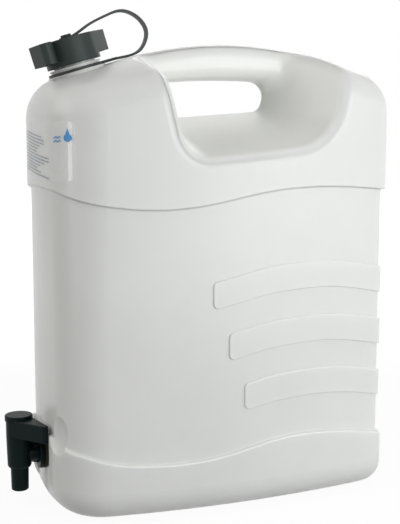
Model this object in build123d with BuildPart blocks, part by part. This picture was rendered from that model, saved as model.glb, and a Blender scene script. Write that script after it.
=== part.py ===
from build123d import *
from math import asin, cos, degrees, radians, sin, sqrt
import os

# Water jerrycan: a blown can with a screw cap on a strap and a turning tap.
# Millimetres, Z up. X runs along the can with the tap and the neck at -X, the face with
# the ribs in view is at -Y, and the origin is on the floor under the middle of the can.

# Can in plan
body_length = 318.0          # over the bulged ends
body_width = 186.0           # over the bulged broad faces
face_bow = 13.0              # bulge of a broad face over its corners
end_bow = 12.0               # bulge of an end over its corners
tap_end_corner = 49.0        # plan corner radius at the tap end
grip_end_corner = 35.0       # plan corner radius at the other end
wall = 2.0                   # blown wall, the same everywhere

# Can from the side
base_edge = 27.0             # rounding of the base rim
top_edge = 31.0              # rounding of the top rim
shoulder_angle = 17.0        # slope of the shoulder under the neck
crest_x = 26.0               # highest place of the top
crest_z = 410.5
crest_radius = 350.0         # curve of the top seen from the side
crown_radius = 190.0         # curve of the top seen from the end
trim_height = 70.0           # how high over the crown the trimming reaches
band_step = 3.2              # how far the middle lies inside the base and top bands
band_edge_round = 1.3
base_wave = [(-175, 80), (-160, 75), (-150, 65), (-136, 60.5), (-120, 55.8), (-100, 51.5),
             (-76, 49.3), (-38, 49.3), (0, 54.7), (30, 60.9), (55, 63.4), (80, 62.9),
             (107, 60), (140, 54.3), (175, 50)]
top_wave = [(-175, 290), (-159, 285), (-142, 276.4), (-120, 270.2), (-92, 266.5), (-68, 265.6),
            (-45, 266.9), (-19, 270.7), (8, 276.2), (36, 280.8), (65, 283), (97, 283),
            (130, 281), (175, 277)]

# Raised ribs that wrap round the grip end
rib_wave = [(-40, 199.3), (-23, 203.4), (-3, 207.9), (28, 214.7), (56, 217.4), (83, 218),
            (104, 216.3), (136, 210.7), (175, 204.5)]
rib_count = 3
rib_height = 23.8
rib_pitch = 48.2
rib_start = -24.0            # rounded end of the highest rib
rib_start_step = 14.5        # each lower rib starts this much nearer the grip end
rib_proud = 1.6
rib_nose = 4.5
rib_edge_round = 0.9

# Hand hole under the carrying bar
grip_half_depth = 20.0       # half the bar's depth across the can
grip_underside = 379.0       # underside of the bar at its middle
grip_underside_end = 360.0
grip_span = (-130.0, 190.0)
scoop_draft = 0.25           # how far the ends of the hole lean outward for each mm of height
ridge_left = (-50.0, 343.5)  # foot corners of the hole over the ridge at its middle
ridge_right = (56.0, 352.0)
ridge_left_round = 12.0
ridge_right_round = 10.0
mouth_left = (-43.0, 302.0)  # foot corners of the hole outside the broad face
mouth_right = (96.0, 315.0)
mouth_left_round = 24.0
mouth_right_round = 56.0
mouth_outside = 7.0          # how far outside the broad face those corners lie
grip_wall = 4.5              # the wall is thicker where the hand hole is pinched
grip_lip = 12.0              # rounding of the hand hole's outer edge
grip_blend = 12.0            # blend from the bar into the can by the neck
grip_far_blend = 14.0        # and at the grip end
bar_under_round = 12.0
ridge_round = 12.0

# Neck
neck_tilt = shoulder_angle
neck_x = -117.7
neck_z = 382.0
neck_pad_radius = 26.5
neck_pad_height = 1.4
neck_collar_radius = 22.0
neck_collar_height = 6.6
neck_radius = 18.6
neck_height = 24.6
mouth_radius = 16.2
neck_pad_taper = 30.0        # degrees, the pad's sides
neck_depth = 5.0             # how far the neck's stock runs down into the can's wall
neck_inside = 4.0
bead_radius = 22.7           # bead that keeps the strap's ring on the neck
bead_height = 5.2
bead_thickness = 1.2
thread_pitch = 6.0
thread_depth = 1.6
thread_foot = 3.4            # height of the ridge at its root
thread_crest = 1.4
thread_sunk = 0.4            # how far the ridge is rooted in its wall
thread_turns = 1.5
thread_start = 11.0

# Screw cap
cap_clearance = 0.4          # between the neck's thread crest and the cap's bore
cap_thread_depth = 1.5
cap_skirt_foot = 7.9
cap_collar_radius = 24.0
cap_collar_top = 12.4
cap_drum_radius = 23.4
cap_top = 30.45
cap_recess_floor = 28.2
cap_ceiling = 26.2
cap_rim_width = 1.8
wing_touch = (-18.7, 14.1)   # where the wing's long side leaves the drum
wing_tip = (-36.6, -9.3)
wing_end = (-30.9, -27.2)
wing_nose_end = (-20.6, -24.6)
wing_nose_mid = (-26.4, -30.6)
wing_root = (-16.6, -15.8)
wing_wall = 2.0
hub_boss_radius = 6.5
hub_boss_top = 29.6
hub_pin_radius = 3.0
hub_head_radius = 4.6
hub_head_foot = 32.2
hub_head_top = 33.8
seal_thickness = 1.5
seal_radius = 20.3

# Retaining strap
strap_width = 6.0
strap_thickness = 2.2
strap_ring_inner = 22.35
strap_ring_outer = 24.6
strap_ring_foot = 1.5
strap_ring_height = 2.4
strap_eyelet_radius = 6.3
strap_hole_radius = 3.3
web_root_x = 20.0            # where the ring starts to run out into the band
web_root_half = 14.0
web_end_x = 38.0
strap_eyelet_thickness = 2.2
strap_eyelet_foot = 29.8
strap_path = [(4.0, 30.9), (12.0, 33.2), (22.0, 36.8), (39.6, 40.4), (54.4, 41.0), (64.6, 35.0),
              (70.8, 25.6), (71.8, 18.1), (68.2, 10.1), (60.5, 3.6), (48.5, 1.9), (32.0, 2.7)]

# Tap seat on the tap end
seat_x = -152.0
seat_top = 62.0
seat_ledge_x = -155.8
seat_ledge_z = 76.0
seat_half_width = 34.0
seat_flare = 24.0            # how much wider the seat's cutting block is on its outside
dimple_at = (-149.4, 52.3, 76.0)     # finger dimple beside the lever, on the corner
dimple_rise = (25.2, 9.3)    # from there out to the middle of its ball
dimple_radius = 30.0
outlet_radius = 10.2
outlet_z = 44.6

# Tap
tap_x = -175.6
tap_chamfer = 0.8
barrel_top = 62.5
barrel_foot = 33.1
barrel_top_radius = 11.35
barrel_foot_radius = 10.6
spout_foot = 11.6
spout_top_radius = 8.05
spout_foot_radius = 7.65
plug_radius = 7.95
plug_clearance = 0.05
plug_foot = 36.8
plug_floor = 36.6
plug_bead_z = 59.6
plug_bead_height = 1.2
plug_bead_proud = 0.3
bead_clearance = 0.1
inlet_radius = 8.0
inlet_bore = 4.5
spout_bore = 5.0
flange_radius = 15.0
flange_thickness = 4.5
gasket_thickness = 2.5
gasket_hole = 10.0
tail_radius = 9.9
tail_length = 16.0
tail_bore = 6.4
nut_thickness = 7.0
nut_across = 31.0
nut_washer_radius = 18.0
nut_washer_thickness = 2.0
web_thickness = 3.0
web_at_flange = 10.0         # the webs' height over and under the inlet's middle, at the flange
web_below_top = 6.0
web_over_foot = 3.0

# Lever
lever_foot = 62.6
lever_top = 77.6
lever_radius = 11.35
lever_reach = 38.5
lever_tip_radius = 3.0
lever_angle = -65.0
lever_edge_round = 1.0
disc_radius = 12.3
disc_sunk = 2.0              # how far the disc reaches down round the lever's root
disc_top = 80.6
groove_width = 2.2
groove_depth = 1.5
groove_heights = (55.6, 51.4)
ring_section = 0.7
ring_gap = 0.02

# Clear label on the tap end
label_thickness = 0.25
label_glue = 0.15            # glue between the label and the can
label_y = (-75.0, 40.0)
label_z = (289.5, 338.0)
label_corner = 5.0

# Underside
channel_x = (-82.0, 90.0)
channel_depth = 2.0
channel_half_width = 5.0

# Cutting blocks
cut_reach = 20.0             # how far they start outside the can
cut_over = 1.0               # how far a bore's block runs past its solid

tilt = radians(neck_tilt)
neck_out = (-sin(tilt), 0, cos(tilt))
neck_side = (cos(tilt), 0, sin(tilt))
neck_foot = Plane(origin=(neck_x, 0, neck_z), x_dir=neck_side, z_dir=neck_out)
strap_side = Plane(origin=(neck_x, 0, neck_z), x_dir=neck_side, z_dir=(0, -1, 0))
cap_bore = neck_radius + thread_depth + cap_clearance
flange_x = seat_x - gasket_thickness - flange_thickness
stock_top = crest_z + cut_reach          # top of the can's stock before its crown is trimmed
waves_lowest = min(height for along, height in base_wave) - band_edge_round - wall
waves_highest = max(height for along, height in top_wave) + band_edge_round + wall


def plan_outline(inset):
    """Plan of the can: four bulged sides with rounded corners."""
    half_x = body_length / 2 - inset
    half_y = body_width / 2 - inset
    corner_x = half_x - end_bow
    corner_y = half_y - face_bow
    with BuildSketch() as outline:
        with BuildLine():
            ThreePointArc((-corner_x, -corner_y), (0, -half_y), (corner_x, -corner_y))
            ThreePointArc((corner_x, -corner_y), (half_x, 0), (corner_x, corner_y))
            ThreePointArc((corner_x, corner_y), (0, half_y), (-corner_x, corner_y))
            ThreePointArc((-corner_x, corner_y), (-half_x, 0), (-corner_x, -corner_y))
        make_face()
        corners = outline.vertices().group_by(Axis.X)
        fillet(corners[0], tap_end_corner - inset)
        fillet(corners[-1], grip_end_corner - inset)
    return outline.sketch


def above_the_top(inset):
    """Everything over the crowned top: a straight shoulder that runs on into the crest's arc."""
    slope = radians(shoulder_angle)
    side_radius = crest_radius - inset
    axis_z = crest_z - crest_radius
    join_x = crest_x - side_radius * sin(slope)
    join_z = axis_z + side_radius * cos(slope)
    reach = body_length / 2 + cut_reach
    half_width = body_width / 2 + cut_reach
    cross_radius = crown_radius - inset
    drop = cross_radius - sqrt(cross_radius ** 2 - half_width ** 2)
    section = Plane(origin=(join_x, 0, join_z), x_dir=(0, 1, 0), z_dir=(cos(slope), 0, sin(slope)))
    with BuildPart() as waste:
        with BuildSketch(section) as crown:
            with BuildLine():
                ThreePointArc((-half_width, -drop), (0, 0), (half_width, -drop))
                Polyline((half_width, -drop), (half_width, trim_height),
                         (-half_width, trim_height), (-half_width, -drop))
            make_face()
        extrude(amount=-(join_x + reach) / cos(slope))
        turn = shoulder_angle + degrees(asin((reach - crest_x) / side_radius))
        revolve(crown.sketch, axis=Axis((crest_x, 0, axis_z), (0, 1, 0)), revolution_arc=turn)
    return waste.part


def plain_block(inset):
    """The can before its waist, ribs and hand hole."""
    with BuildPart() as block:
        with BuildSketch(Plane.XY.offset(inset)):
            add(plan_outline(inset))
        extrude(amount=stock_top)
        add(above_the_top(inset), mode=Mode.SUBTRACT)
        rim = block.edges().filter_by(GeomType.BSPLINE)
        fillet(rim.filter_by_position(Axis.Z, waves_highest, stock_top), top_edge - inset)
        fillet(block.edges().group_by(Axis.Z)[0], base_edge - inset)
    return block.part


def on_wall(edge, wall_line):
    """True where an edge runs along an upright wall drawn in plan by wall_line."""
    middle = edge @ 0.5
    return wall_line.distance_to(Vector(middle.X, middle.Y, 0)) < wall / 4


def on_ridge(edge):
    """True for an edge along the ridge between the two scoops."""
    middle = edge.center()
    between = ridge_left[0] - ridge_left_round < middle.X < ridge_right[0] + ridge_right_round
    return between and abs(middle.Y) < wall and waves_highest < middle.Z < grip_underside_end


def bar_side(edge):
    """True for an edge along a side face of the carrying bar."""
    middle = edge.center()
    return abs(abs(middle.Y) - grip_half_depth) < wall and middle.Z > grip_underside


def waist_cut(inset, rounded):
    """The ring taken off between the two waves, so that the bands stand proud."""
    with BuildPart() as ring:
        with BuildSketch(Plane.XZ):
            with BuildLine():
                low = Spline([(x, z - inset) for x, z in base_wave])
                high = Spline([(x, z + inset) for x, z in top_wave])
                Line(low @ 0, high @ 0)
                Line(low @ 1, high @ 1)
            make_face()
        extrude(amount=body_width, both=True)
        with BuildSketch():
            add(plan_outline(inset + band_step))
        extrude(amount=stock_top, mode=Mode.SUBTRACT)
        if rounded:
            wall_line = plan_outline(inset + band_step).wire()
            curved = ring.edges().filter_by(GeomType.BSPLINE)
            fillet(curved.filter_by(lambda edge: on_wall(edge, wall_line)), band_edge_round)
    return ring.part


def rib_set(inset, rounded):
    """The ribs, run right through the can, so that both broad faces and the grip end have them."""
    with BuildPart() as ribs:
        for count in range(rib_count):
            drop = count * rib_pitch
            start = rib_start + count * rib_start_step + inset
            with BuildSketch(Plane.XZ) as band:
                with BuildLine():
                    high = Spline([(x, z - drop - inset) for x, z in rib_wave])
                    low = Spline([(x, z - drop - rib_height + inset) for x, z in rib_wave])
                    Line(high @ 0, low @ 0)
                    Line(high @ 1, low @ 1)
                make_face()
                with Locations((start, 0)):
                    Rectangle(body_length, stock_top, align=(Align.MIN, Align.MIN),
                              mode=Mode.INTERSECT)
                fillet(band.vertices().sort_by(Axis.X)[:2], rib_nose - inset)
            extrude(amount=body_width, both=True)
        with BuildSketch():
            add(plan_outline(inset + band_step - rib_proud))
        extrude(amount=stock_top, mode=Mode.INTERSECT)
        if rounded:
            fillet(ribs.edges().filter_by(Axis.Y, reverse=True), rib_edge_round)
    return ribs.part


def scoop(grow, side):
    """One side of the hand hole: a rounded trough that widens from the ridge to the broad face."""
    mouth_y = body_width / 2 + mouth_outside
    sections = ((0, ridge_left, ridge_right, ridge_left_round, ridge_right_round),
                (mouth_y, mouth_left, mouth_right, mouth_left_round, mouth_right_round))
    with BuildPart() as trough:
        for y, left, right, left_round, right_round in sections:
            left_foot = (left[0] - grow, left[1] - grow)
            right_foot = (right[0] + grow, right[1] - grow)
            left_top = (left_foot[0] - scoop_draft * (stock_top - left_foot[1]), stock_top)
            right_top = (right_foot[0] + scoop_draft * (stock_top - right_foot[1]), stock_top)
            with BuildSketch(Plane.XZ.offset(-side * y)) as section:
                with BuildLine():
                    Polyline(left_top, left_foot, right_foot, right_top, left_top)
                make_face()
                fillet(section.vertices().sort_by_distance(left_foot)[0], left_round + grow)
                fillet(section.vertices().sort_by_distance(right_foot)[0], right_round + grow)
        loft()
    return trough.part


def carrying_bar(grow):
    """The block that stays between the scoops, rounded along its underside."""
    with BuildPart() as bar:
        with BuildSketch(Plane.XZ):
            with BuildLine():
                under = ThreePointArc((grip_span[0], grip_underside_end + grow),
                                      (crest_x, grip_underside + grow),
                                      (grip_span[1], grip_underside_end + grow))
                Polyline(under @ 1, (grip_span[1], stock_top), (grip_span[0], stock_top), under @ 0)
            make_face()
        extrude(amount=grip_half_depth - grow, both=True)
        fillet(bar.edges().filter_by(GeomType.CIRCLE), bar_under_round - grow)
    return bar.part


def hand_hole(grow):
    """Both scoops, with the carrying bar left standing between them."""
    with BuildPart() as opening:
        add(scoop(grow, -1))
        add(scoop(grow, 1))
        add(carrying_bar(grow), mode=Mode.SUBTRACT)
    return opening.part


def tap_seat(inset):
    """Flat for the tap's flange on the tap end, with a ledge over it."""
    outside = -body_length / 2 - cut_reach
    with BuildPart() as seat:
        with BuildSketch(Plane.XZ):
            with BuildLine():
                Polyline((seat_x + inset, -cut_reach), (seat_x + inset, seat_top),
                         (seat_ledge_x + inset, seat_ledge_z), (outside, seat_ledge_z),
                         (outside, -cut_reach), (seat_x + inset, -cut_reach))
            make_face()
        extrude(amount=body_width, both=True)
        with BuildSketch():
            with BuildLine():
                Polyline((seat_x + inset, -seat_half_width), (seat_x + inset, seat_half_width),
                         (outside, seat_half_width + seat_flare),
                         (outside, -seat_half_width - seat_flare),
                         (seat_x + inset, -seat_half_width))
            make_face()
        extrude(amount=seat_ledge_z, mode=Mode.INTERSECT)
    return seat.part


def moulded_form(inset, grip_inset, rounded):
    """The blown shape, shrunk by inset, and by grip_inset round the hand hole."""
    with BuildPart() as form:
        add(plain_block(inset))
        add(waist_cut(inset, rounded), mode=Mode.SUBTRACT)
        if rounded:
            skin_line = plan_outline(inset).wire()
            steps = form.edges().filter_by_position(Axis.Z, waves_lowest, waves_highest)
            curved = steps.filter_by(GeomType.BSPLINE)
            fillet(curved.filter_by(lambda edge: on_wall(edge, skin_line)), band_edge_round)
        add(rib_set(inset, rounded))
        add(hand_hole(grip_inset), mode=Mode.SUBTRACT)
        if rounded:
            fillet(form.edges().filter_by(on_ridge), ridge_round)
            for end_x, blend in ((-body_length / 2, grip_blend), (body_length / 2, grip_far_blend)):
                sides = form.edges().filter_by(bar_side)
                ends = sides.filter_by(lambda edge: edge.length < grip_half_depth)
                fillet(ends.filter_by(lambda edge: edge.center().X * end_x > 0), blend)
            sides = form.edges().filter_by(bar_side)
            fillet(sides.filter_by(lambda edge: edge.length > 3 * grip_half_depth), grip_lip)
        add(tap_seat(inset), mode=Mode.SUBTRACT)
        ball_x = dimple_at[0] - dimple_rise[0]
        ball_y = dimple_at[1] + dimple_rise[1]
        with Locations((ball_x, -ball_y, dimple_at[2]), (ball_x, ball_y, dimple_at[2])):
            Sphere(dimple_radius + inset, mode=Mode.SUBTRACT)
        with BuildSketch(Plane.XZ):
            for x in channel_x:
                with BuildLine():
                    low_left = (x - channel_half_width - inset, inset)
                    low_right = (x + channel_half_width + inset, inset)
                    Polyline(low_left, (x, channel_depth + inset), low_right, low_left)
                make_face()
        extrude(amount=body_width, both=True, mode=Mode.SUBTRACT)
    return form.part


def thread_ridge(radius, depth, start):
    """A screw ridge round the neck's axis: positive depth for the neck, negative for the cap."""
    sunk = thread_sunk if depth > 0 else -thread_sunk
    with BuildPart() as ridge:
        with BuildLine():
            Helix(pitch=thread_pitch, height=thread_pitch * thread_turns, radius=radius,
                  center=(0, 0, start))
        with BuildSketch(Plane(origin=(radius, 0, start), x_dir=(1, 0, 0), z_dir=(0, -1, 0))):
            with BuildLine():
                Polyline((-sunk, thread_foot / 2), (depth, thread_crest / 2), (depth, -thread_crest / 2),
                         (-sunk, -thread_foot / 2), (-sunk, thread_foot / 2))
            make_face()
        sweep(is_frenet=True)
    return ridge.part


def wings(inset):
    """Plan of the cap's drum with its two swept wings, all drawn in by inset."""
    with BuildSketch() as outline:
        Circle(cap_drum_radius)
        with PolarLocations(0, 2):
            with BuildSketch(mode=Mode.PRIVATE) as wing:
                with BuildLine():
                    Line(wing_touch, wing_tip)
                    Line(wing_tip, wing_end)
                    ThreePointArc(wing_end, wing_nose_mid, wing_nose_end)
                    Line(wing_nose_end, wing_root)
                    Polyline(wing_root, (0, 0), wing_touch)
                make_face()
            add(wing.sketch)
        if inset > 0:
            offset(amount=-inset)
    return outline.sketch


# Can: the blown shell with its neck and its tap hole
with BuildPart() as canister:
    add(moulded_form(0, 0, True))
    with BuildSketch(neck_foot.offset(-neck_depth)):
        Circle(neck_pad_radius + neck_depth / 2)
    extrude(amount=neck_depth + neck_pad_height, taper=neck_pad_taper)
    with BuildSketch(neck_foot):
        Circle(neck_collar_radius)
    extrude(amount=neck_collar_height)
    with BuildSketch(neck_foot.offset(bead_height)):
        Circle(bead_radius)
    extrude(amount=bead_thickness)
    with BuildSketch(neck_foot.offset(neck_collar_height)):
        Circle(neck_radius)
    extrude(amount=neck_height - neck_collar_height)
    add(moulded_form(wall, grip_wall, False), mode=Mode.SUBTRACT)
    with BuildSketch(neck_foot.offset(-neck_depth - neck_inside)):
        Circle(mouth_radius)
    extrude(amount=neck_height + neck_depth + neck_inside, mode=Mode.SUBTRACT)
    add(neck_foot.location * thread_ridge(neck_radius, thread_depth, thread_start))
    with BuildSketch(Plane.YZ.offset(seat_x - cut_over)):
        with Locations((0, outlet_z)):
            Circle(outlet_radius)
    extrude(amount=wall + 2 * cut_over, mode=Mode.SUBTRACT)

# Tap body: barrel with a spout, and a side inlet with its flange and threaded tail
with BuildPart() as tap_body:
    with BuildSketch(Plane.XZ.shift_origin((tap_x, 0, 0))):
        with BuildLine():
            Polyline((0, spout_foot), (spout_foot_radius - tap_chamfer, spout_foot),
                     (spout_foot_radius, spout_foot + tap_chamfer), (spout_top_radius, barrel_foot),
                     (barrel_foot_radius - tap_chamfer, barrel_foot),
                     (barrel_foot_radius, barrel_foot + 2 * tap_chamfer),
                     (barrel_top_radius, barrel_top), (0, barrel_top), (0, spout_foot))
        make_face()
    revolve(axis=Axis((tap_x, 0, 0), (0, 0, 1)))
    with BuildSketch(Plane.YZ.offset(tap_x)):
        with Locations((0, outlet_z)):
            Circle(inlet_radius)
    extrude(amount=flange_x - tap_x)
    with BuildSketch(Plane.XZ):
        with BuildLine():
            Polyline((tap_x, outlet_z), (flange_x, outlet_z), (flange_x, outlet_z + web_at_flange),
                     (tap_x + barrel_top_radius, barrel_top - web_below_top),
                     (tap_x, barrel_top - web_below_top), (tap_x, outlet_z))
        make_face()
    extrude(amount=web_thickness / 2, both=True)
    with BuildSketch(Plane.XZ):
        with BuildLine():
            Polyline((tap_x, barrel_foot + web_over_foot),
                     (tap_x + barrel_foot_radius, barrel_foot + web_over_foot),
                     (flange_x, outlet_z - web_at_flange), (flange_x, outlet_z), (tap_x, outlet_z),
                     (tap_x, barrel_foot + web_over_foot))
        make_face()
    extrude(amount=web_thickness / 2, both=True)
    with BuildSketch(Plane.YZ.offset(flange_x)):
        with Locations((0, outlet_z)):
            Circle(flange_radius)
    extrude(amount=flange_thickness)
    circles = tap_body.edges().filter_by(GeomType.CIRCLE)
    fillet(circles.filter_by(lambda edge: edge.radius == flange_radius), tap_chamfer)
    with BuildSketch(Plane.YZ.offset(flange_x + flange_thickness)):
        with Locations((0, outlet_z)):
            Circle(tail_radius)
    extrude(amount=tail_length)
    chamfer(tap_body.edges().group_by(Axis.X)[-1], tap_chamfer)
    with BuildSketch(Plane.XY.offset(plug_floor)):
        with Locations((tap_x, 0)):
            Circle(plug_radius + plug_clearance)
    extrude(amount=barrel_top - plug_floor, mode=Mode.SUBTRACT)
    with BuildSketch(Plane.XY.offset(plug_bead_z - bead_clearance)):
        with Locations((tap_x, 0)):
            Circle(plug_radius + plug_bead_proud + bead_clearance)
    extrude(amount=plug_bead_height + 2 * bead_clearance, mode=Mode.SUBTRACT)
    with BuildSketch(Plane.XY.offset(spout_foot)):
        with Locations((tap_x, 0)):
            Circle(spout_bore)
    extrude(amount=plug_floor - spout_foot, mode=Mode.SUBTRACT)
    with BuildSketch(Plane.YZ.offset(tap_x)):
        with Locations((0, outlet_z)):
            Circle(inlet_bore)
    extrude(amount=flange_x + flange_thickness + tail_length - tap_x, mode=Mode.SUBTRACT)
    with BuildSketch(Plane.YZ.offset(flange_x)):
        with Locations((0, outlet_z)):
            Circle(tail_bore)
    extrude(amount=flange_thickness + tail_length, mode=Mode.SUBTRACT)

# Sealing ring between the tap's flange and the can
with BuildPart() as tap_gasket:
    with BuildSketch(Plane.YZ.offset(seat_x - gasket_thickness)):
        with Locations((0, outlet_z)):
            Circle(flange_radius)
            Circle(gasket_hole, mode=Mode.SUBTRACT)
    extrude(amount=gasket_thickness)

# Nut on the tail, inside the can
with BuildPart() as tap_nut:
    with BuildSketch(Plane.YZ.offset(seat_x + wall)):
        with Locations((0, outlet_z)):
            Circle(nut_washer_radius)
    extrude(amount=nut_washer_thickness)
    with BuildSketch(Plane.YZ.offset(seat_x + wall + nut_washer_thickness)):
        with Locations((0, outlet_z)):
            RegularPolygon(nut_across / 2, 6, major_radius=False)
    extrude(amount=nut_thickness - nut_washer_thickness)
    chamfer(tap_nut.edges().group_by(Axis.X)[-1], tap_chamfer)
    with BuildSketch(Plane.YZ.offset(seat_x + wall)):
        with Locations((0, outlet_z)):
            Circle(tail_radius)
    extrude(amount=nut_thickness, mode=Mode.SUBTRACT)

# Plug with the lever on top: it turns in the barrel
with BuildPart() as tap_plug:
    with BuildSketch(Plane.XY.offset(plug_foot)):
        with Locations((tap_x, 0)):
            Circle(plug_radius)
    extrude(amount=lever_foot - plug_foot)
    with BuildSketch(Plane.XY.offset(plug_bead_z)):
        with Locations((tap_x, 0)):
            Circle(plug_radius + plug_bead_proud)
    extrude(amount=plug_bead_height)
    tip_x = tap_x + lever_reach * cos(radians(lever_angle))
    tip_y = lever_reach * sin(radians(lever_angle))
    with BuildSketch(Plane.XY.offset(lever_foot)):
        with Locations((tap_x, 0)):
            Circle(lever_radius)
        with Locations((tip_x, tip_y)):
            Circle(lever_tip_radius)
        make_hull()
    extrude(amount=lever_top - lever_foot)
    fillet(tap_plug.edges().group_by(Axis.Z)[-1], lever_edge_round)
    with BuildSketch(Plane.XY.offset(lever_top - disc_sunk)):
        with Locations((tap_x, 0)):
            Circle(disc_radius)
    extrude(amount=disc_top - lever_top + disc_sunk)
    fillet(tap_plug.edges().group_by(Axis.Z)[-1], lever_edge_round)
    for height in groove_heights:
        with BuildSketch(Plane.XY.offset(height - groove_width / 2)):
            with Locations((tap_x, 0)):
                Circle(plug_radius)
                Circle(plug_radius - groove_depth, mode=Mode.SUBTRACT)
        extrude(amount=groove_width, mode=Mode.SUBTRACT)
    with BuildSketch(Plane.XZ):
        with Locations((tap_x, outlet_z)):
            Circle(inlet_bore)
    extrude(amount=-plug_radius - cut_over, mode=Mode.SUBTRACT)
    with BuildSketch(Plane.XY.offset(plug_foot)):
        with Locations((tap_x, 0)):
            Circle(inlet_bore)
    extrude(amount=outlet_z - plug_foot, mode=Mode.SUBTRACT)

# Two O-rings in the plug's grooves
with BuildPart() as plug_rings:
    for height in groove_heights:
        with Locations((tap_x, 0, height)):
            Torus(plug_radius - ring_section + ring_gap, ring_section)

# Screw cap: drum with two swept wings, a collar below, a tray with the strap's hub on top
with BuildPart() as screw_cap:
    with BuildSketch(neck_foot.offset(cap_skirt_foot)):
        Circle(cap_collar_radius)
    extrude(amount=cap_collar_top - cap_skirt_foot)
    with BuildSketch(neck_foot.offset(cap_collar_top)):
        add(wings(0))
    extrude(amount=cap_top - cap_collar_top)
    with BuildSketch(neck_foot.offset(cap_recess_floor)):
        add(wings(cap_rim_width))
    extrude(amount=cap_top - cap_recess_floor, mode=Mode.SUBTRACT)
    with BuildSketch(neck_foot.offset(cap_collar_top)):
        add(wings(wing_wall))
        Circle(cap_drum_radius, mode=Mode.SUBTRACT)
    extrude(amount=cap_ceiling - cap_collar_top, mode=Mode.SUBTRACT)
    with BuildSketch(neck_foot.offset(cap_skirt_foot)):
        Circle(cap_bore)
    extrude(amount=cap_ceiling - cap_skirt_foot, mode=Mode.SUBTRACT)
    with BuildSketch(neck_foot.offset(cap_recess_floor)):
        Circle(hub_boss_radius)
    extrude(amount=hub_boss_top - cap_recess_floor)
    with BuildSketch(neck_foot.offset(hub_boss_top)):
        Circle(hub_pin_radius)
    extrude(amount=hub_head_foot - hub_boss_top)
    with BuildSketch(neck_foot.offset(hub_head_foot)):
        Circle(hub_head_radius)
    extrude(amount=hub_head_top - hub_head_foot)
    add(neck_foot.location * thread_ridge(cap_bore, -cap_thread_depth, thread_start + thread_pitch / 2))

# Sealing disc under the cap's ceiling
with BuildPart() as cap_seal:
    with BuildSketch(neck_foot.offset(cap_ceiling - seal_thickness)):
        Circle(seal_radius)
    extrude(amount=seal_thickness)

# Retaining strap: a ring round the neck, a band in a loop and an eyelet on the cap's hub
with BuildPart() as strap:
    with BuildSketch(neck_foot.offset(strap_ring_foot)):
        with BuildLine():
            Polyline((web_root_x, -web_root_half), (web_end_x, -strap_width / 2),
                     (web_end_x, strap_width / 2), (web_root_x, web_root_half),
                     (web_root_x, -web_root_half))
        make_face()
        Circle(strap_ring_outer)
        Circle(strap_ring_inner, mode=Mode.SUBTRACT)
    extrude(amount=strap_ring_height)
    with BuildLine(strap_side) as band_line:
        Spline(strap_path)
    with BuildSketch(Plane(origin=band_line.line @ 0, x_dir=(0, 1, 0), z_dir=band_line.line % 0)):
        Rectangle(strap_width, strap_thickness)
    sweep(path=band_line.line)
    with BuildSketch(neck_foot.offset(strap_eyelet_foot)):
        Circle(strap_eyelet_radius)
    extrude(amount=strap_eyelet_thickness)
    with BuildSketch(neck_foot.offset(strap_eyelet_foot - cut_over)):
        Circle(strap_hole_radius)
    extrude(amount=strap_eyelet_thickness + 2 * cut_over, mode=Mode.SUBTRACT)

# Clear label that wraps the tap end and the corner by the broad face
with BuildPart() as label_sheet:
    add(plain_block(-label_glue - label_thickness))
    add(plain_block(-label_glue), mode=Mode.SUBTRACT)
    with BuildSketch(Plane.YZ.offset(-body_length / 2 - cut_over)):
        with Locations(((label_y[0] + label_y[1]) / 2, (label_z[0] + label_z[1]) / 2)):
            RectangleRounded(label_y[1] - label_y[0], label_z[1] - label_z[0], label_corner)
    extrude(amount=body_length / 2, mode=Mode.INTERSECT)

os.makedirs("parts", exist_ok=True)
pieces = {"canister": canister, "screw_cap": screw_cap, "cap_seal": cap_seal, "retaining_strap": strap,
          "tap_body": tap_body, "tap_plug": tap_plug, "tap_gasket": tap_gasket, "tap_back_nut": tap_nut,
          "plug_o_rings": plug_rings, "instruction_label": label_sheet}
for name, piece in pieces.items():
    piece.part.label = name
    export_step(piece.part, f"parts/{name}.step")
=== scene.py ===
import math
import random

import bmesh
import bpy
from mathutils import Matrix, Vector
from mathutils.bvhtree import BVHTree

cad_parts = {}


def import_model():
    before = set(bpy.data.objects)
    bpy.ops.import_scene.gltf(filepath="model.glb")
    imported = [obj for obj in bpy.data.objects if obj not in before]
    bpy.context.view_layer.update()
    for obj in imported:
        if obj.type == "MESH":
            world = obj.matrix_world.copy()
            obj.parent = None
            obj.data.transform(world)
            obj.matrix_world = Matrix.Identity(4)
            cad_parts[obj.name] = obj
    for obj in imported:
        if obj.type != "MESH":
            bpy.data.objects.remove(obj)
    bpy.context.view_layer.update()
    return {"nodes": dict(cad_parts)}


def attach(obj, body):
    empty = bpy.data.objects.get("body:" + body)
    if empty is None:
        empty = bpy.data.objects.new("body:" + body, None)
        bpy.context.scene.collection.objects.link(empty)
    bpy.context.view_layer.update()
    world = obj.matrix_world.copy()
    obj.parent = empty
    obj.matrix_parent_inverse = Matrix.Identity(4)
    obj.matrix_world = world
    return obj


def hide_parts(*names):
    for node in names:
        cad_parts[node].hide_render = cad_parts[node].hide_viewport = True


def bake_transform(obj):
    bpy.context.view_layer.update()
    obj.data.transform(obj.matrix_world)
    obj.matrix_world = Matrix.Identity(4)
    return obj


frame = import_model()
nodes = frame["nodes"]

# Looks of the water jerrycan, in metres, in the CAD's own frame.
# Every solid keeps its mesh and gets a material. The strap is a copy of its CAD mesh, and the label's
# print lies on its clear film.

# Camera, at the photograph's viewing angle
CAMERA_PLACE = Vector((-0.31402, -0.83230, 0.31572))
CAMERA_BACK = Vector((-0.34795, -0.93007, 0.11788))   # from what it looks at to the camera
FOCAL_PIXELS = 952.0
FRAME_HEIGHT = 524.0
SENSOR_MM = 36.0

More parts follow.
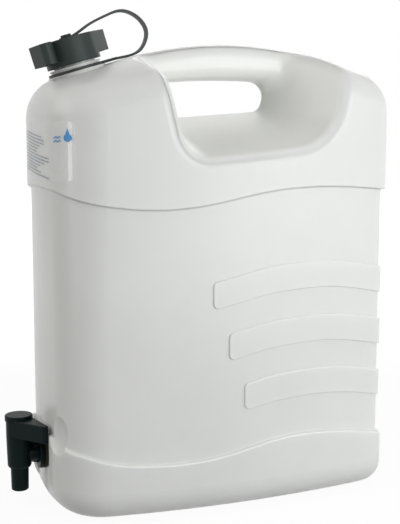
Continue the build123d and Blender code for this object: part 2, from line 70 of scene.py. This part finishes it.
# Colours, as linear values
CAN_COLOUR = (0.80, 0.81, 0.785)
CAN_SHADE = (0.755, 0.765, 0.735)
CAP_COLOUR = (0.029, 0.041, 0.038)
CAP_SHADE = (0.019, 0.028, 0.026)
STRAP_COLOUR = (0.038, 0.043, 0.040)
TAP_COLOUR = (0.0034, 0.0086, 0.0092)
TAP_SHADE = (0.0022, 0.0060, 0.0064)
GASKET_COLOUR = (0.040, 0.034, 0.026)
SEAL_COLOUR = (0.30, 0.30, 0.28)
LABEL_BLUE = (0.045, 0.27, 0.62)
LABEL_GREY = (0.27, 0.33, 0.40)
FLOOR_COLOUR = (0.3, 0.3, 0.3)
WORLD_COLOUR = (1.0, 0.985, 0.95)

# Moulded plastic
PLASTIC_IOR = 1.5
GLOSS_SPREAD = 0.06          # how far the roughness strays to each side
SHADE_UNTIL = 0.3            # value of the noise up to which the darker colour shows
COLOUR_FROM = 0.7            # and from which the lighter one does
GLOW_WEIGHT = 0.5            # share of light that runs through the can's wall
GLOW_RADIUS = (1.0, 1.0, 0.95)
GLOW_DEPTH = 0.012
WALL_WAVE_SCALE = 22.0       # slow waves of the blown wall
WALL_WAVE_DEPTH = 0.00025
SEAM_HALF_WIDTH = 0.0007     # the mould's seam, along the can's middle
SEAM_HEIGHT = 0.00035

# Clear film of the label
FILM_COVER = 0.1
FILM_IOR = 3.0
FILM_ROUGHNESS = 0.07
FILM_RIPPLE_SCALE = 60.0
FILM_RIPPLE = 0.00004

# Print on the film: broken rules, in rows that slant down towards the broad face
PRINT_SEED = 7
PRINT_PROUD = 0.00006        # how far the print stands off the film
PRINT_ROUGHNESS = 0.3
OUTSIDE_X = -1.0             # where the rays start that find the film
RULE_ROWS = 13
RULE_FULL_ROWS = (6, 7, 12)
RULE_PITCH = 0.0027
RULE_HEIGHT = 0.0010
RULE_GAP = 0.0010
RULE_START = 0.022
RULE_END = -0.050
RULE_WANDER = 0.030          # how much shorter the other rows are, at most
RULE_LEAST_WANDER = 0.3      # and at least, as a share of that
RULE_SLANT = 0.115
RULE_HIGH = 0.3290
DASH_SHORTEST = 0.003
DASH_LONGEST = 0.009
DASH_STEPS = 4

# A drop, with two ripples beside it
DROP_PLACE = (-0.0705, 0.3245)
DROP_RADIUS = 0.0030
DROP_STEPS = 12              # stations from the middle to each side
DROP_LEAST_HALF = 0.01       # half height at the very sides, in radii
DROP_TIP = 1.6               # how far the tip rises over the round, in radii
DROP_TIP_HALF = 0.5          # half width of the tip's foot, in radii
RIPPLE_COUNT = 2
RIPPLE_OFFSET = 1.9          # from the drop's middle to the ripples, in radii
RIPPLE_STEPS = 12
RIPPLE_STEP = 0.0006
RIPPLE_STEPS_A_HALF_SWING = 3
RIPPLE_SWING = 0.0006
RIPPLE_PITCH = 0.003
RIPPLE_HEIGHT = 0.0011

# Floor and surroundings
FLOOR_RADIUS = 6.0
FLOOR_SEGMENTS = 96
FLOOR_ROUGHNESS = 0.9
FLOOR_SPECULAR = 0.1
FLOOR_GLOW = 1.17            # strength of the white that the camera sees in the floor
FLOOR_SHARE = 0.8            # its share near the can
FADE_START = 0.5             # how far from the can the share starts to rise
FADE_END = 1.5               # and where it is 1
WORLD_LIGHT = 0.35
WHITE_LIGHT = 1.0            # strength of the white background

# Lamps: name, place, aim, size, watts and colour
CAN_MIDDLE = (0, 0, 0.2)
FACE_MIDDLE = (0.05, 0, 0.2)
TAP_CORNER = (-0.14, -0.07, 0.28)
COOL = (0.985, 1.0, 1.0)
WARM = (1.0, 0.99, 0.965)
WHITE = (1, 1, 1)
LAMPS = [("key", (0.66, -0.94, 0.30), FACE_MIDDLE, (0.7, 0.9), 5.9, COOL),
         ("front", (0.30, -1.11, 0.30), FACE_MIDDLE, (0.7, 0.9), 5.8, COOL),
         ("left", (-1.64, 0.14, 1.15), CAN_MIDDLE, (1.2, 1.2), 9.8, WARM),
         ("strip", (-1.69, -0.457, 0.28), TAP_CORNER, (0.25, 0.34), 1.5, WHITE),
         ("top", (0.25, -0.43, 2.04), CAN_MIDDLE, (1.2, 1.2), 2.5, WHITE),
         ("back", (0.78, 1.35, 1.29), CAN_MIDDLE, (1.2, 1.2), 6.0, WHITE)]


def node(tree, kind, **values):
    """Adds a shader node and sets its inputs by name."""
    made = tree.nodes.new(kind)
    for name, value in values.items():
        made.inputs[name.replace("_", " ")].default_value = value
    return made


def mixed_colour(tree, factor, low, high):
    """A colour between two colours, led by factor."""
    ramp = tree.nodes.new("ShaderNodeValToRGB")
    ramp.color_ramp.elements[0].position = SHADE_UNTIL
    ramp.color_ramp.elements[1].position = COLOUR_FROM
    ramp.color_ramp.elements[0].color = (*low, 1)
    ramp.color_ramp.elements[1].color = (*high, 1)
    tree.links.new(factor, ramp.inputs["Fac"])
    return ramp.outputs["Color"]


def between(tree, factor, low, high, start=0.0, end=1.0):
    """A number from low to high, as factor goes from start to end."""
    made = tree.nodes.new("ShaderNodeMapRange")
    made.inputs["From Min"].default_value = start
    made.inputs["From Max"].default_value = end
    made.inputs["To Min"].default_value = low
    made.inputs["To Max"].default_value = high
    tree.links.new(factor, made.inputs["Value"])
    return made.outputs["Result"]


def maths(tree, operation, first, second=0.0):
    """One math node: each operand is a number or an output."""
    made = tree.nodes.new("ShaderNodeMath")
    made.operation = operation
    for place, operand in enumerate((first, second)):
        if isinstance(operand, (int, float)):
            made.inputs[place].default_value = operand
        else:
            tree.links.new(operand, made.inputs[place])
    return made.outputs[0]


def raised(tree, shader, height):
    """Lets a height in metres bend the shader's normal."""
    bump = node(tree, "ShaderNodeBump", Strength=1.0, Distance=1.0)
    tree.links.new(height, bump.inputs["Height"])
    tree.links.new(bump.outputs["Normal"], shader.inputs["Normal"])


def blown_relief(tree, place):
    """Slow waves of the blown wall, and the mould's seam along the can's middle."""
    waves = node(tree, "ShaderNodeTexNoise", Scale=WALL_WAVE_SCALE, Detail=1.0)
    tree.links.new(place, waves.inputs["Vector"])
    apart = tree.nodes.new("ShaderNodeSeparateXYZ")
    tree.links.new(place, apart.inputs[0])
    off_seam = maths(tree, "ABSOLUTE", apart.outputs["Y"])
    share = maths(tree, "SUBTRACT", 1.0, maths(tree, "DIVIDE", off_seam, SEAM_HALF_WIDTH))
    ridge = maths(tree, "MULTIPLY", maths(tree, "MAXIMUM", share, 0.0), SEAM_HEIGHT)
    return maths(tree, "ADD", maths(tree, "MULTIPLY", waves.outputs["Fac"], WALL_WAVE_DEPTH), ridge)


def plastic(name, colour, shade, roughness, grain=900.0, grain_depth=0.00003, patch=14.0,
            specular=0.5, blown=False):
    """Moulded plastic: a mottled colour, uneven gloss and a fine eroded grain."""
    made = bpy.data.materials.new(name)
    made.use_nodes = True
    tree = made.node_tree
    shader = tree.nodes["Principled BSDF"]
    place = tree.nodes.new("ShaderNodeTexCoord").outputs["Object"]
    patches = node(tree, "ShaderNodeTexNoise", Scale=patch, Detail=3.0, Roughness=0.55)
    fine = node(tree, "ShaderNodeTexNoise", Scale=grain, Detail=2.0, Roughness=0.5)
    tree.links.new(place, patches.inputs["Vector"])
    tree.links.new(place, fine.inputs["Vector"])
    mottle = mixed_colour(tree, patches.outputs["Fac"], shade, colour)
    tree.links.new(mottle, shader.inputs["Base Color"])
    gloss = between(tree, patches.outputs["Fac"], roughness - GLOSS_SPREAD, roughness + GLOSS_SPREAD)
    tree.links.new(gloss, shader.inputs["Roughness"])
    height = maths(tree, "MULTIPLY", fine.outputs["Fac"], grain_depth)
    if blown:
        height = maths(tree, "ADD", height, blown_relief(tree, place))
        shader.inputs["Subsurface Weight"].default_value = GLOW_WEIGHT
        shader.inputs["Subsurface Radius"].default_value = GLOW_RADIUS
        shader.inputs["Subsurface Scale"].default_value = GLOW_DEPTH
    raised(tree, shader, height)
    shader.inputs["IOR"].default_value = PLASTIC_IOR
    shader.inputs["Specular IOR Level"].default_value = specular
    return made


def clear_film():
    """Clear glossy film that shows on its outer side alone."""
    made = bpy.data.materials.new("label_film")
    made.use_nodes = True
    tree = made.node_tree
    shader = tree.nodes["Principled BSDF"]
    place = tree.nodes.new("ShaderNodeTexCoord").outputs["Object"]
    ripple = node(tree, "ShaderNodeTexNoise", Scale=FILM_RIPPLE_SCALE, Detail=1.0)
    tree.links.new(place, ripple.inputs["Vector"])
    raised(tree, shader, maths(tree, "MULTIPLY", ripple.outputs["Fac"], FILM_RIPPLE))
    shader.inputs["Base Color"].default_value = (1, 1, 1, 1)
    shader.inputs["Roughness"].default_value = FILM_ROUGHNESS
    shader.inputs["IOR"].default_value = FILM_IOR
    side = tree.nodes.new("ShaderNodeNewGeometry")
    cover = between(tree, side.outputs["Backfacing"], FILM_COVER, 0.0)
    tree.links.new(cover, shader.inputs["Alpha"])
    return made


def print_piece(name, outlines, colour):
    """Printed shapes laid on the film: each outline is a row of (y, low z, high z) stations."""
    film = nodes["instruction_label"].data
    corners = [vertex.co for vertex in film.vertices]
    tree = BVHTree.FromPolygons(corners, [polygon.vertices for polygon in film.polygons])
    shape = bmesh.new()
    for stations in outlines:
        rows = []
        for y, low, high in stations:
            pair = []
            for z in (low, high):
                place, normal, _, _ = tree.ray_cast(Vector((OUTSIDE_X, y, z)), Vector((1, 0, 0)))
                pair.append(shape.verts.new(place + normal * PRINT_PROUD))
            rows.append(pair)
        for (low_a, high_a), (low_b, high_b) in zip(rows, rows[1:]):
            shape.faces.new((low_a, low_b, high_b, high_a))
    bmesh.ops.recalc_face_normals(shape, faces=shape.faces)
    data = bpy.data.meshes.new(name)
    shape.to_mesh(data)
    made = bpy.data.objects.new(name, data)
    bpy.context.scene.collection.objects.link(made)
    data.materials.append(plastic(name + "_ink", colour, colour, PRINT_ROUGHNESS, grain_depth=0.0,
                                  specular=0.3))
    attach(made, "can")


def rule_outlines():
    """Rows of dashes of uneven length."""
    luck = random.Random(PRINT_SEED)
    rules = []
    for row in range(RULE_ROWS):
        row_end = RULE_END
        if row not in RULE_FULL_ROWS:
            row_end += RULE_WANDER * luck.uniform(RULE_LEAST_WANDER, 1.0)
        y = RULE_START
        while y > row_end:
            dash_end = max(y - luck.uniform(DASH_SHORTEST, DASH_LONGEST), row_end)
            stations = []
            for step in range(DASH_STEPS + 1):
                at_y = y + (dash_end - y) * step / DASH_STEPS
                low = RULE_HIGH - row * RULE_PITCH + RULE_SLANT * at_y
                stations.append((at_y, low, low + RULE_HEIGHT))
            rules.append(stations)
            y = dash_end - RULE_GAP
    return rules


def drop_outlines():
    """A drop with its tip up, and the ripples beside it."""
    centre_y, centre_z = DROP_PLACE
    drop = []
    for step in range(-DROP_STEPS, DROP_STEPS + 1):
        turn = step / DROP_STEPS
        half = DROP_RADIUS * max(math.sqrt(1 - turn * turn), DROP_LEAST_HALF)
        high = half
        if abs(turn) < DROP_TIP_HALF:
            high = DROP_RADIUS * (1 + DROP_TIP * (1 - abs(turn) / DROP_TIP_HALF))
        drop.append((centre_y - turn * DROP_RADIUS, centre_z - half, centre_z + high))
    outlines = [drop]
    for count in range(RIPPLE_COUNT):
        ripple = []
        for step in range(RIPPLE_STEPS + 1):
            at_y = centre_y + DROP_RADIUS * RIPPLE_OFFSET + RIPPLE_STEP * step
            swing = RIPPLE_SWING * math.sin(step * math.pi / RIPPLE_STEPS_A_HALF_SWING)
            low = centre_z + (count - 1) * RIPPLE_PITCH + swing
            ripple.append((at_y, low, low + RIPPLE_HEIGHT))
        outlines.append(ripple)
    return outlines


def paint(name, material):
    """Gives a CAD node its material."""
    slots = nodes[name].data.materials
    slots.clear()
    slots.append(material)


def strap_piece(material):
    """A copy of the strap's mesh with its own material, shown in place of the CAD node."""
    made = bpy.data.objects.new("strap_band", nodes["retaining_strap"].data.copy())
    bpy.context.scene.collection.objects.link(made)
    made.data.materials.clear()
    made.data.materials.append(material)
    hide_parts("retaining_strap")
    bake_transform(made)


def seen_as_background(tree):
    """1 for rays that show the surroundings: from the camera, off a gloss or through a clear piece."""
    path = tree.nodes.new("ShaderNodeLightPath")
    direct = maths(tree, "MAXIMUM", path.outputs["Is Camera Ray"], path.outputs["Is Glossy Ray"])
    return maths(tree, "MAXIMUM", direct, path.outputs["Is Transmission Ray"])


def stage_material(name, colour):
    """Plain pale material that the camera sees lifted towards white, and wholly white far away."""
    made = bpy.data.materials.new(name)
    made.use_nodes = True
    tree = made.node_tree
    shader = tree.nodes["Principled BSDF"]
    shader.inputs["Base Color"].default_value = (*colour, 1)
    shader.inputs["Roughness"].default_value = FLOOR_ROUGHNESS
    shader.inputs["Specular IOR Level"].default_value = FLOOR_SPECULAR
    white = node(tree, "ShaderNodeEmission", Strength=FLOOR_GLOW)
    mix = tree.nodes.new("ShaderNodeMixShader")
    place = tree.nodes.new("ShaderNodeTexCoord")
    away = tree.nodes.new("ShaderNodeVectorMath")
    away.operation = "LENGTH"
    tree.links.new(place.outputs["Object"], away.inputs[0])
    fade = between(tree, away.outputs["Value"], FLOOR_SHARE, 1.0, FADE_START, FADE_END)
    tree.links.new(maths(tree, "MULTIPLY", seen_as_background(tree), fade), mix.inputs["Fac"])
    tree.links.new(shader.outputs[0], mix.inputs[1])
    tree.links.new(white.outputs[0], mix.inputs[2])
    tree.links.new(mix.outputs[0], tree.nodes["Material Output"].inputs["Surface"])
    return made


def floor():
    """Wide floor disc under the can."""
    shape = bmesh.new()
    bmesh.ops.create_circle(shape, cap_ends=True, radius=FLOOR_RADIUS, segments=FLOOR_SEGMENTS)
    data = bpy.data.meshes.new("floor")
    shape.to_mesh(data)
    made = bpy.data.objects.new("floor", data)
    bpy.context.scene.collection.objects.link(made)
    data.materials.append(stage_material("floor_pale", FLOOR_COLOUR))


def world():
    """Soft pale surroundings, white where the camera or a mirror sees them."""
    made = bpy.data.worlds.new("studio")
    bpy.context.scene.world = made
    made.use_nodes = True
    tree = made.node_tree
    back = tree.nodes["Background"]
    back.inputs["Color"].default_value = (*WORLD_COLOUR, 1)
    back.inputs["Strength"].default_value = WORLD_LIGHT
    white = node(tree, "ShaderNodeBackground", Color=(1, 1, 1, 1), Strength=WHITE_LIGHT)
    mix = tree.nodes.new("ShaderNodeMixShader")
    tree.links.new(seen_as_background(tree), mix.inputs["Fac"])
    tree.links.new(back.outputs[0], mix.inputs[1])
    tree.links.new(white.outputs[0], mix.inputs[2])
    tree.links.new(mix.outputs[0], tree.nodes["World Output"].inputs["Surface"])


def camera():
    """Camera fitted to the photograph."""
    data = bpy.data.cameras.new("camera")
    data.sensor_width = SENSOR_MM
    data.lens = FOCAL_PIXELS / FRAME_HEIGHT * SENSOR_MM
    made = bpy.data.objects.new("camera", data)
    made.location = CAMERA_PLACE
    made.rotation_euler = (-CAMERA_BACK).to_track_quat("-Z", "Y").to_euler()
    bpy.context.scene.collection.objects.link(made)
    bpy.context.scene.camera = made


def lamp(name, place, target, size, power, colour):
    """Soft rectangular lamp aimed at a point."""
    data = bpy.data.lights.new(name, "AREA")
    data.shape = "RECTANGLE"
    data.size, data.size_y = size
    data.energy = power
    data.color = colour
    made = bpy.data.objects.new(name, data)
    made.location = place
    made.rotation_euler = (Vector(target) - Vector(place)).to_track_quat("-Z", "Y").to_euler()
    bpy.context.scene.collection.objects.link(made)


can_plastic = plastic("can_plastic", CAN_COLOUR, CAN_SHADE, 0.33, grain=1400.0,
                      grain_depth=0.00001, patch=9.0, blown=True)
cap_plastic = plastic("cap_plastic", CAP_COLOUR, CAP_SHADE, 0.42, specular=0.2)
strap_plastic = plastic("strap_plastic", STRAP_COLOUR, CAP_SHADE, 0.48, specular=0.3)
tap_plastic = plastic("tap_plastic", TAP_COLOUR, TAP_SHADE, 0.40, specular=0.08)
lever_plastic = plastic("lever_plastic", TAP_COLOUR, TAP_SHADE, 0.36, specular=0.08)
gasket_rubber = plastic("gasket_rubber", GASKET_COLOUR, GASKET_COLOUR, 0.7, specular=0.2)
seal_rubber = plastic("seal_rubber", SEAL_COLOUR, SEAL_COLOUR, 0.6)
ring_rubber = plastic("ring_rubber", TAP_SHADE, TAP_SHADE, 0.55)

paint("canister", can_plastic)
paint("screw_cap", cap_plastic)
paint("cap_seal", seal_rubber)
paint("tap_body", tap_plastic)
paint("tap_plug", lever_plastic)
paint("tap_gasket", gasket_rubber)
paint("tap_back_nut", tap_plastic)
paint("plug_o_rings", ring_rubber)
paint("instruction_label", clear_film())
print_piece("label_rules", rule_outlines(), LABEL_GREY)
print_piece("label_drop", drop_outlines(), LABEL_BLUE)
strap_piece(strap_plastic)

floor()
world()
camera()
for lamp_values in LAMPS:
    lamp(*lamp_values)
bpy.context.scene.view_settings.view_transform = "Standard"
